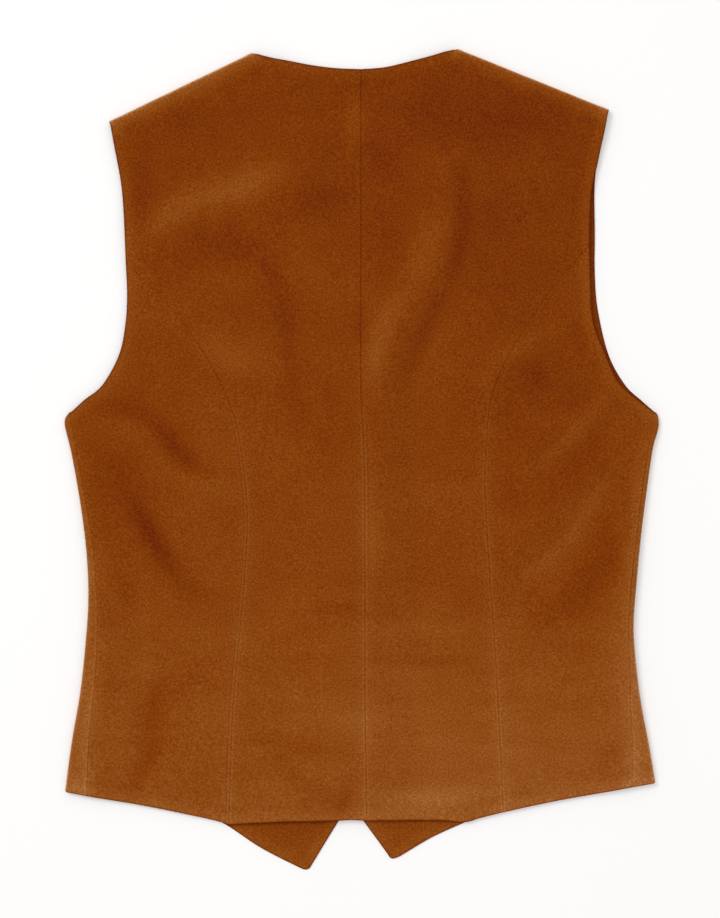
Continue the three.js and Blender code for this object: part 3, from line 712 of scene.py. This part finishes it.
def shell(panel):
    """A closed wall between the panel's two faces."""
    outer, inner, tones = finished(panel)
    columns, rows = outer.shape[:2]
    numbers = np.arange(columns * rows).reshape(columns, rows)
    filled = np.pad(panel["filled"], 1)
    own = filled[1:-1, 1:-1]
    a, b, c, d = numbers[:-1, :-1], numbers[1:, :-1], numbers[1:, 1:], numbers[:-1, 1:]
    below = columns * rows
    quads = [np.stack([a, b, c, d], axis=-1)[own], below + np.stack([a, d, c, b], axis=-1)[own]]
    neighbours = [filled[1:-1, :-2], filled[2:, 1:-1], filled[1:-1, 2:], filled[:-2, 1:-1]]
    for (start, end), neighbour in zip(((a, b), (b, c), (c, d), (d, a)), neighbours):
        rim = own & ~neighbour
        quads.append(np.stack([end, start, below + start, below + end], axis=-1)[rim])
    quads = np.concatenate(quads)
    points = np.concatenate([outer.reshape(-1, 3), inner.reshape(-1, 3)])
    used, quads = np.unique(quads, return_inverse=True)
    quads = quads.reshape(-1, 4)
    points = points[used]
    corners = points[quads]
    twice = np.cross(corners[:, 1], corners[:, 2]) + np.cross(corners[:, 2], corners[:, 3])
    if (corners[:, 0] * twice).sum() < 0:
        quads = quads[:, ::-1]
    made = solid(f"suede_{panel['node']}", points, quads.tolist())
    values = np.concatenate([face.ravel() for face in tones])[used].astype(np.float32)
    made.data.attributes.new("tone", "FLOAT", "POINT").data.foreach_set("value", values)
    return made


# Strokes of lighter and darker colour, partly the nap's brushing and partly painted shade and
# highlights of the folds: a line through three points, half its width, and how much lighter it is.
FOLD_SHADE_AND_NAP = [
    ((-184, 178), (-149, 215), (-102, 221), 12, 0.34), ((-115, 219), (-88, 226), (-64, 241), 15, 0.3),
    ((-180, 182), (-180, 217), (-177, 254), 11, -0.14), ((-174, 262), (-153, 277), (-100, 285), 20, -0.08),
    ((-162, 162), (-121, 193), (-77, 157), 17, -0.14), ((-82, 168), (-57, 131), (-56, 41), 9, -0.2),
    ((-133, 113), (-123, 90), (-96, 72), 11, 0.1), ((-121, 92), (-96, 78), (-64, 75), 14, 0.12),
    ((-57, 162), (-39, 143), (-10, 139), 20, 0.12), ((-55, 206), (-30, 215), (-7, 221), 12, -0.14),
    ((-7, 305), (-5, 283), (-6, 256), 9, 0.2), ((46, 279), (89, 266), (98, 220), 8, 0.1),
    ((62, 209), (57, 168), (25, 124), 14, 0.19), ((30, 133), (8, 102), (10, 56), 9, 0.28),
    ((80, 239), (93, 184), (62, 127), 7, -0.19), ((64, 131), (43, 94), (33, 61), 8, -0.2),
    ((3, 270), (13, 246), (31, 229), 13, -0.14), ((-2, 134), (-2, 115), (-3, 94), 6, -0.14),
    ((43, 293), (97, 288), (158, 270), 22, -0.14), ((30, 302), (64, 287), (95, 242), 15, -0.09),
    ((100, 56), (111, 94), (159, 108), 9, 0.19), ((123, 56), (142, 75), (164, 72), 15, -0.14),
    ((158, 46), (172, 51), (187, 56), 12, -0.12), ((136, -7), (179, 15), (200, 56), 7, 0.19),
    ((150, -33), (187, -8), (198, 24), 13, -0.17), ((126, -97), (172, -79), (197, -20), 6, 0.19),
    ((153, -120), (192, -115), (210, -40), 17, -0.26), ((120, -120), (162, -133), (205, -108), 15, -0.14),
    ((-216, 45), (-174, 47), (-157, 15), 8, -0.24), ((-167, 24), (-149, 5), (-128, -12), 9, -0.3),
    ((-211, 31), (-182, 23), (-156, -10), 7, 0.08), ((-159, -8), (-137, -25), (-100, -23), 8, 0.12),
    ((-208, -2), (-200, -12), (-189, -23), 9, -0.1), ((-192, -29), (-175, -58), (-157, -84), 9, -0.34),
    ((-167, -72), (-151, -100), (-128, -113), 11, -0.25), ((-192, -43), (-177, -99), (-174, -197), 6, 0.05),
    ((-205, -82), (-200, -94), (-192, -115), 6, -0.12), ((7, -25), (10, -66), (10, -103), 11, 0.18),
    ((-41, -123), (-20, -120), (0, -122), 6, -0.15), ((-8, -138), (48, -141), (98, -140), 7, 0.1),
    ((-3, -163), (48, -167), (100, -163), 5, -0.15), ((-95, -166), (-59, -167), (-14, -163), 7, -0.1),
    ((-46, -215), (-8, -200), (30, -230), 16, 0.11), ((-164, -172), (-174, -222), (-187, -271), 9, -0.13),
    ((-64, -259), (-54, -264), (-44, -271), 8, -0.14), ((-77, -231), (-43, -242), (-8, -240), 10, -0.12),
    ((5, -276), (43, -281), (113, -272), 10, 0.37), ((15, 221), (25, 188), (15, 156), 22, -0.1),
    ((198, 213), (192, 164), (198, 106), 14, 0.1), ((-215, -271), (-162, -281), (-104, -292), 7, -0.07),
    ((-141, -181), (-184, -189), (-169, -234), 13, -0.16),
    ((-167, -230), (-174, -254), (-189, -271), 7, -0.22),
    ((221, -66), (210, -197), (226, -258), 14, 0.12), ((-51, -94), (31, -100), (146, -94), 30, -0.07),
    ((238, 29), (220, -49), (225, -148), 10, 0.22), ((-108, 308), (-51, 302), (-8, 292), 24, 0.08),
    ((-200, 221), (-197, 180), (-200, 115), 10, 0.08), ((-198, 277), (-149, 302), (-96, 321), 9, 0.13),
    ((192, -249), (205, -243), (213, -228), 8, -0.16), ((-11, -267), (-13, -279), (-20, -291), 5, -0.2),
    ((-51, -266), (-30, -272), (-15, -289), 9, -0.12), ((27, -189), (89, -254), (195, -234), 44, 0.12),
    ((123, 180), (138, 49), (130, -82), 40, -0.12), ((-30, 56), (-29, 29), (-33, 1), 20, -0.1),
    ((-211, 49), (-194, -17), (-186, -99), 30, -0.14), ((-67, -267), (-108, -271), (-190, -246), 20, -0.08),
]
MOTTLE = [(30, 0.05), (11, 0.04)]
MOTTLE_SEED = 7
STROKE_RELIEF = {"high": 1.6, "deepest": 0.3}
STREAKS = {"long": 34, "high": 7, "light": 0.05, "from": -100, "to": -170, "seed": 31}
# Tones along the seams: painted shade in the groove and a painted highlight on its ridges, dark stitch
# lines, lighter bands beside the lower seams, and along the side seam a lighter band of painted rim light,
# fuller towards the hem.
SEAM_TONE = {
    "high_groove": -0.3, "low_groove": -0.16, "ridge": 0.13, "high_ridge": 0.3,
    "stitch": -0.22, "faint_stitch": -0.1, "band": 0.13, "band_half": 5.5,
    "side_band": 0.2, "side_half": 8, "side_from": -110, "side_to": -190, "side_high": 0.4,
}
# Along free edges: a dark line of painted shade at the edge, and a lighter band inside it.
EDGE_TONE = {"line": -0.8, "line_half": 0.8, "band": 0.23, "band_at": 2.5, "band_half": 7.5}
# The painted highlight on the shoulder roll: its strength over the roll and its width, and a brighter line
# at the outline and its width.
SHOULDER_HIGHLIGHT = {"light": 0.38, "half": 7, "line": 1.9, "line_half": 2.8}
# Tones of the fronts: the inner face darker, a painted shadow under the back's hem and its width, and
# painted rim light on the roll round the side fold, per side, at the roll's outline, and from upper to
# lower.
FRONT_TONE = {
    "inside": -0.27, "hem_shadow": -0.6, "hem_half": 1.5, "wrapped": {"left": 0.19, "right": 0.21},
    "rim": 4.2, "rim_share": 0.28, "upper": 0.8, "lower": 1.1,
}
# The slope of tone from the top to the hem, partly the hide's colour and partly painted light.
LOWEST = -330
WIDEST = 240
HIDE_AND_LIGHT_SLOPE = {"down": 0.22, "at_hem": 0.13, "aside": 0.06, "middle": -0.06}


def tone(points):
    """How light the hide looks at each point, about 0 on average: its own patches and streaks, and a slope
    darker at the top right and lighter towards the hem, partly the hide's colour and partly painted light.
    """
    place, low = points[..., :2], points[..., 1] / LOWEST
    mottled = patches(place, MOTTLE, MOTTLE_SEED)
    streaked = unevenness(place * (1 / STREAKS["long"], 1 / STREAKS["high"]), 1, STREAKS["seed"])
    streaked = streaked * STREAKS["light"] * ease(-STREAKS["from"], -STREAKS["to"], -place[..., 1])
    hide_and_light_slope = HIDE_AND_LIGHT_SLOPE["down"] * low + HIDE_AND_LIGHT_SLOPE["at_hem"] * np.clip(low, 0, 1) ** 2 + HIDE_AND_LIGHT_SLOPE["middle"]
    return mottled + streaked + hide_and_light_slope + HIDE_AND_LIGHT_SLOPE["aside"] * place[..., 0] / WIDEST * low


# A tube steeper than this has its ring set out from x instead of z.
STEEP = 0.9


class Pieces:
    """Small shapes gathered into one mesh."""

    def __init__(self):
        self.points = []
        self.faces = []

    def add(self, points, faces):
        first = sum(map(len, self.points))
        self.points.append(np.array(points))
        self.faces += [[first + corner for corner in face] for face in faces]

    def rings(self, points, caps, first, sides):
        """Points with rings from the first on, the quads between the rings, and the caps."""
        count = (len(points) - first) // sides
        faces = list(caps)
        for low in range(first, first + (count - 1) * sides, sides):
            high = low + sides
            for i in range(sides):
                j = (i + 1) % sides
                faces.append([low + i, low + j, high + j, high + i])
        self.add(points, faces)

    def tube(self, path, radii, sides):
        """A round tube along a path, closed at its ends."""
        path = np.array(path, float)
        along = np.gradient(path, axis=0)
        along /= np.linalg.norm(along, axis=1, keepdims=True)
        aside = np.cross(along, np.where(np.abs(along[:, 2:]) > STEEP, [1, 0, 0], [0, 0, 1]))
        aside /= np.linalg.norm(aside, axis=1, keepdims=True)
        above = np.cross(aside, along)
        angles = np.linspace(0, 2 * math.pi, sides, endpoint=False)[:, None, None]
        ring = np.cos(angles) * aside + np.sin(angles) * above
        points = path + ring * np.broadcast_to(radii, len(path))[:, None]
        points = points.transpose(1, 0, 2).reshape(-1, 3)
        last = (len(path) - 1) * sides
        self.rings(points, [range(sides)[::-1], range(last, last + sides)], 0, sides)

    def revolve(self, profile, sides):
        """A profile of (radius, height) from axis to axis, turned round the z axis."""
        points = [(0, 0, profile[0][1]), (0, 0, profile[-1][1])]
        for radius, height in profile[1:-1]:
            for angle in np.linspace(0, 2 * math.pi, sides, endpoint=False):
                points.append((radius * math.cos(angle), radius * math.sin(angle), height))
        last = len(points) - sides
        caps = []
        for i in range(sides):
            j = (i + 1) % sides
            caps += [[0, 2 + j, 2 + i], [last + i, last + j, 1]]
        self.rings(points, caps, 2, sides)

    def made(self, name, material=None, offset=(0, 0, 0)):
        made = solid(name, np.vstack(self.points) + offset, self.faces)
        if material:
            made.data.materials.append(material)
        return made


# A button's profile from the middle of its dished face, over the rim, to the
# middle of its back, and its four holes.
BUTTON_PROFILE = [
    (0, 0.6), (2, 0.6), (3.6, 0.58), (4.6, 0.48), (5.3, 0.2), (5.9, 0.04), (6.5, 0), (7.1, 0.06),
    (7.6, 0.3), (7.9, 0.7), (8, 1.2), (7.95, 1.7), (7.7, 2.2), (7.2, 2.5), (6.2, 2.65), (3, 2.7), (0, 2.7),
]
BUTTON_SIDES = 72
SHARP = 40
HOLE = {"out": 1.45, "radius": 0.8, "sides": 20, "through": (-1, 1, 4)}
HOLE_PLACES = [(x * HOLE["out"], y * HOLE["out"]) for x in (-1, 1) for y in (-1, 1)]
THREAD = {"radius": 0.2, "spread": 0.34, "sides": 10}
# A strand from a hole to the middle between two: its share of the way out, and its height.
STRAND = [(1, 2.92), (1, 1.2), (0.93, 0.6), (0.7, 0.3), (0, 0.26)]


def button_body(name, material, place):
    """A round horn button lying on its face, with its four holes cut through."""
    body = Pieces()
    body.revolve(BUTTON_PROFILE, BUTTON_SIDES)
    button = body.made(name, material)
    holes = Pieces()
    for x, y in HOLE_PLACES:
        holes.tube([(x, y, z) for z in HOLE["through"]], HOLE["radius"], HOLE["sides"])
    cutter = holes.made("holes")
    cut = button.modifiers.new("holes", "BOOLEAN")
    cut.object = cutter
    cut.solver = "EXACT"
    shape = button.evaluated_get(bpy.context.evaluated_depsgraph_get())
    button.data = bpy.data.meshes.new_from_object(shape)
    button.modifiers.clear()
    bpy.data.objects.remove(cutter)
    button.data.transform(Matrix.Translation(Vector(place)))
    button.data.set_sharp_from_angle(angle=math.radians(SHARP))
    return button


def button_thread(name, material, place):
    """Two bars of thread across a button's face, three strands to each."""
    threads = Pieces()
    for side in (-1, 1):
        for strand in (-1, 0, 1):
            y = side * HOLE["out"] + strand * THREAD["spread"]
            path = [(-out * HOLE["out"], y, z) for out, z in STRAND]
            path += [(-x, y, z) for x, _, z in path[-2::-1]]
            threads.tube(path, THREAD["radius"], THREAD["sides"])
    return threads.made(name, material, np.array(place) / MM)


STITCH = {
    "pitch": 3.2, "half": 1.1, "radius": 0.19, "sides": 6,
    "sink": (0.36, 0.14, 0.08, 0.14, 0.36), "ends": (0.6, 1, 1, 1, 0.6),
}


def stitches(name, material, seams):
    """The edge stitches of the welts, each one a short thread lying in its groove."""
    sewn = Pieces()
    for half, seam, aside in seams:
        line = curve(seam).moved(aside * WELT["stitch_at"])
        for place in np.arange(STITCH["pitch"], line.length - STITCH["pitch"], STITCH["pitch"]):
            steps = place + STITCH["half"] * np.linspace(-1, 1, len(STITCH["sink"]))
            flat = line.at(np.interp(steps, line.lengths, line.shares))
            if flat[0, 1] > WELT["top"] - WELT["fade"] / 2:
                continue
            height = back_height(half, flat) + patches(flat, UNEVEN, 0)
            path = raised(flat, height - np.array(STITCH["sink"]))
            sewn.tube(path, STITCH["radius"] * np.array(STITCH["ends"]), STITCH["sides"])
    return sewn.made(name, material)


class Shade:
    """A socket of a material. Sums on it add Math nodes."""

    def __init__(self, finish, socket):
        self.finish = finish
        self.socket = socket

    def sum(self, operation, first, second):
        return self.finish.node("ShaderNodeMath", {"operation": operation}, {0: first, 1: second})

    def __add__(self, other):
        return self.sum("ADD", self, other)

    def __sub__(self, other):
        return self.sum("SUBTRACT", self, other)

    def __rsub__(self, other):
        return self.sum("SUBTRACT", other, self)

    def __mul__(self, other):
        return self.sum("MULTIPLY", self, other)

    __radd__ = __add__
    __rmul__ = __mul__


def linear(red, green, blue):
    """A colour as seen on a screen, 0 to 255, as the shader wants it."""
    return tuple(((c / 255 + 0.055) / 1.055) ** 2.4 for c in (red, green, blue))


class Finish:
    """A material, and the way to add nodes to it."""

    def __init__(self, name):
        self.material = bpy.data.materials.new(name)
        self.material.use_nodes = True
        self.tree = self.material.node_tree
        self.shader = self.tree.nodes["Principled BSDF"]
        self.place = self.node("ShaderNodeTexCoord", output="Object")

    def node(self, kind, settings=None, sockets=None, output=0):
        """Adds a node: its settings first, then the values or links of its sockets."""
        made = self.tree.nodes.new(kind)
        for key, value in (settings or {}).items():
            setattr(made, key, value)
        for key, value in (sockets or {}).items():
            self.put(made.inputs[key], value)
        return Shade(self, made.outputs[output])

    def put(self, socket, value):
        if isinstance(value, Shade):
            self.tree.links.new(value.socket, socket)
        else:
            socket.default_value = value

    def set(self, **sockets):
        for key, value in sockets.items():
            self.put(self.shader.inputs[key.replace("_", " ").title()], value)

    def noise(self, size, detail, roughness, place=None):
        """Cloudy noise from 0 to 1 in patches of a size in metres."""
        sockets = {"Vector": place or self.place, "Scale": 1 / size}
        sockets |= {"Detail": detail, "Roughness": roughness}
        return self.node("ShaderNodeTexNoise", None, sockets)

    def ramp(self, rows, amount):
        """A colour between the rows' own, for an amount from 0 to 1."""
        made = self.node("ShaderNodeValToRGB", None, {"Fac": amount})
        elements = made.socket.node.color_ramp.elements
        while len(elements) < len(rows):
            elements.new(1)
        for element, (position, colour) in zip(elements, rows):
            element.position = position
            element.color = (*linear(*colour), 1)
        return made

    def bump(self, height, strength, distance):
        sockets = {"Strength": strength, "Distance": distance, "Height": height}
        return self.node("ShaderNodeBump", None, sockets, "Normal")


# The hide's colours from dark to light, as seen on a screen.
SUEDE_TONES = [
    (0.0, (79, 14, 0)), (0.2, (98, 34, 0)), (0.4, (117, 54, 1)),
    (0.6, (132, 73, 24)), (0.8, (149, 93, 47)), (1.0, (182, 132, 92)),
]
# The size in metres, detail and roughness of each kind of its grain.
PEBBLES = (0.0016, 2, 0.55)
NAP = (0.0008, 2, 0.6)
FIBRES = (0.0003, 1, 0.5)
CELL_SMOOTH = 0.6
SPECKLE = {"pebbles": 0.78, "nap": 0.2, "fibres": 0.08, "all": 0.78, "where_lighter": 0.16}
LIGHT = {"tone_and_shade": 0.44, "middle": 0.4}
GRAIN = {"pebbles": 0.6, "cells": 0.25, "nap": 0.3, "fibres": 0.12, "strength": 0.55, "high": 0.0005}
SUEDE_ROUGH = {"most": 0.94, "nap": 0.06}
SHEEN = {"sheen_weight": 0.3, "sheen_roughness": 0.35, "sheen_tint": (*linear(226, 156, 88), 1)}
SUEDE_GLOSS = 0.04


def suede_finish():
    """Brown suede: a pebbled hide under a short nap, lighter and darker by its tone attribute, which holds
    painted shade, shadow and highlights as well as the hide's own tone.
    """
    suede = Finish("suede")
    # The tone attribute: the hide's own tone with the painted shade, shadow, highlights and rim light of
    # the mesh.
    tone_and_shade = suede.node("ShaderNodeAttribute", {"attribute_name": "tone"}, output="Fac")
    pebbles, nap, fibres = (suede.noise(*grain) for grain in (PEBBLES, NAP, FIBRES))
    sockets = {"Vector": suede.place, "Scale": 1 / PEBBLES[0], "Smoothness": CELL_SMOOTH}
    cells = suede.node("ShaderNodeTexVoronoi", {"feature": "SMOOTH_F1"}, sockets)
    speckle = (pebbles - 0.5) * SPECKLE["pebbles"] + (nap - 0.5) * SPECKLE["nap"]
    speckle = speckle + (fibres - 0.5) * SPECKLE["fibres"]
    speckle = speckle * (tone_and_shade * SPECKLE["where_lighter"] + SPECKLE["all"])
    colour = suede.ramp(SUEDE_TONES, tone_and_shade * LIGHT["tone_and_shade"] + speckle + LIGHT["middle"])
    height = pebbles * GRAIN["pebbles"] - cells * GRAIN["cells"]
    height = height + nap * GRAIN["nap"] + fibres * GRAIN["fibres"]
    bump = suede.bump(height, GRAIN["strength"], GRAIN["high"])
    rough = SUEDE_ROUGH["most"] - nap * SUEDE_ROUGH["nap"]
    suede.set(base_color=colour, normal=bump, roughness=rough, **SHEEN)
    suede.put(suede.shader.inputs["Specular IOR Level"], SUEDE_GLOSS)
    return suede.material


# Horn is streaked and polished, and sewing thread has a twist.
HORN = {
    "stops": [(0.2, (28, 16, 9)), (0.5, (52, 30, 16)), (0.8, (96, 62, 34))],
    "streaks": (0.004, 4, 0.6), "stretched": (1, 3, 1), "grain": (0.0006, 2, 0.5),
    "bump": 0.2, "rough": 0.26, "rougher": 0.12,
}
TWIST = {
    "stops": [(0.3, (72, 28, 2)), (0.7, (118, 58, 16))],
    "streaks": (0.0004, 2, 0.6), "stretched": (1, 1, 1), "grain": (0.0004, 2, 0.6),
    "bump": 0.4, "rough": 0.6, "rougher": 0.1,
}
GRAIN_HIGH = 0.0001


def grained_finish(name, look):
    """A brown finish with streaks of colour and a fine grain."""
    made = Finish(name)
    place = made.node("ShaderNodeMapping", None, {"Vector": made.place, "Scale": look["stretched"]})
    colour = made.ramp(look["stops"], made.noise(*look["streaks"], place))
    grain = made.noise(*look["grain"])
    rough = grain * look["rougher"] + look["rough"]
    made.set(base_color=colour, normal=made.bump(grain, look["bump"], GRAIN_HIGH), roughness=rough)
    return made.material


FLOOR = {"size": 20000, "colour": (0.775, 0.77, 0.768, 1), "roughness": 0.9}
WORLD = {"Color": (1, 0.985, 0.97, 1), "Strength": 0.755}
LENS = 85
SENSOR = 36
# The middle of the picture, how much it takes in from hem to neck, and at which height.
VIEW = {"x": -1.64, "y": 0.66, "high": 752.8, "level": 3}
# Each light's name, place, width and power.
LIGHTS = [("key", (-2.6, 2.1, 3.5), 2.2, 80), ("overhead", (0.1, -0.1, 2.6), 1.8, 23)]


def stage_and_light():
    """A plain pale floor, soft lights and the camera straight above."""
    corners = np.array([(-1, -1, 0), (1, -1, 0), (1, 1, 0), (-1, 1, 0)]) * FLOOR["size"]
    floor = solid("floor", corners, [(0, 1, 2, 3)])
    pale = Finish("pale_floor")
    pale.set(base_color=FLOOR["colour"], roughness=FLOOR["roughness"])
    floor.data.materials.append(pale.material)

    world = bpy.data.worlds.new("studio")
    world.use_nodes = True
    for key, value in WORLD.items():
        world.node_tree.nodes["Background"].inputs[key].default_value = value
    bpy.context.scene.world = world
    for name, place, width, power in LIGHTS:
        lamp = bpy.data.lights.new(name, "AREA")
        lamp.shape = "DISK"
        lamp.size = width
        lamp.energy = power
        made = placed(name, lamp)
        made.location = place
        made.rotation_euler = (-Vector(place)).to_track_quat("-Z", "Y").to_euler()

    seen = bpy.data.cameras.new("camera")
    seen.lens = LENS
    seen.sensor_width = SENSOR
    camera = placed("camera", seen)
    distance = VIEW["high"] * LENS / SENSOR
    camera.location = (VIEW["x"] * MM, VIEW["y"] * MM, (distance + VIEW["level"]) * MM)
    bpy.context.scene.camera = camera
    return floor


floor = stage_and_light()
bpy.context.scene.view_settings.view_transform = "Standard"
suede = suede_finish()
for half in (LEFT, RIGHT):
    for panel in (back_centre(half), back_side(half), front(half)):
        piece = shell(panel)
        piece.data.materials.append(suede)
        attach(piece, "root")
        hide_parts(panel["node"])
        cut = panel["cut"]
        filled, first = panel["filled"], cut[:-1, :-1]
        one, other = cut[:-1, 1:] - first, cut[1:, :-1] - first
        cells = np.abs(one[..., 0] * other[..., 1] - one[..., 1] * other[..., 0])
        area = float(cells[filled].sum())

horn, thread = grained_finish("horn", HORN), grained_finish("thread", TWIST)
for number in range(1, BUTTONS["count"] + 1):
    node = f"button_{number}"
    low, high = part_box(node)
    place = ((low[0] + high[0]) / 2, (low[1] + high[1]) / 2, low[2])
    body = button_body(f"horn_{node}", horn, place)
    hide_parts(node)
    for piece in (body, button_thread(f"thread_{node}", thread, place)):
        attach(piece, "root")
welts = [(RIGHT, CENTRE_SEAM, 1), (LEFT, LEFT["princess"], -1), (RIGHT, RIGHT["princess"], 1)]
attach(stitches("edge_stitches", thread, welts), "root")
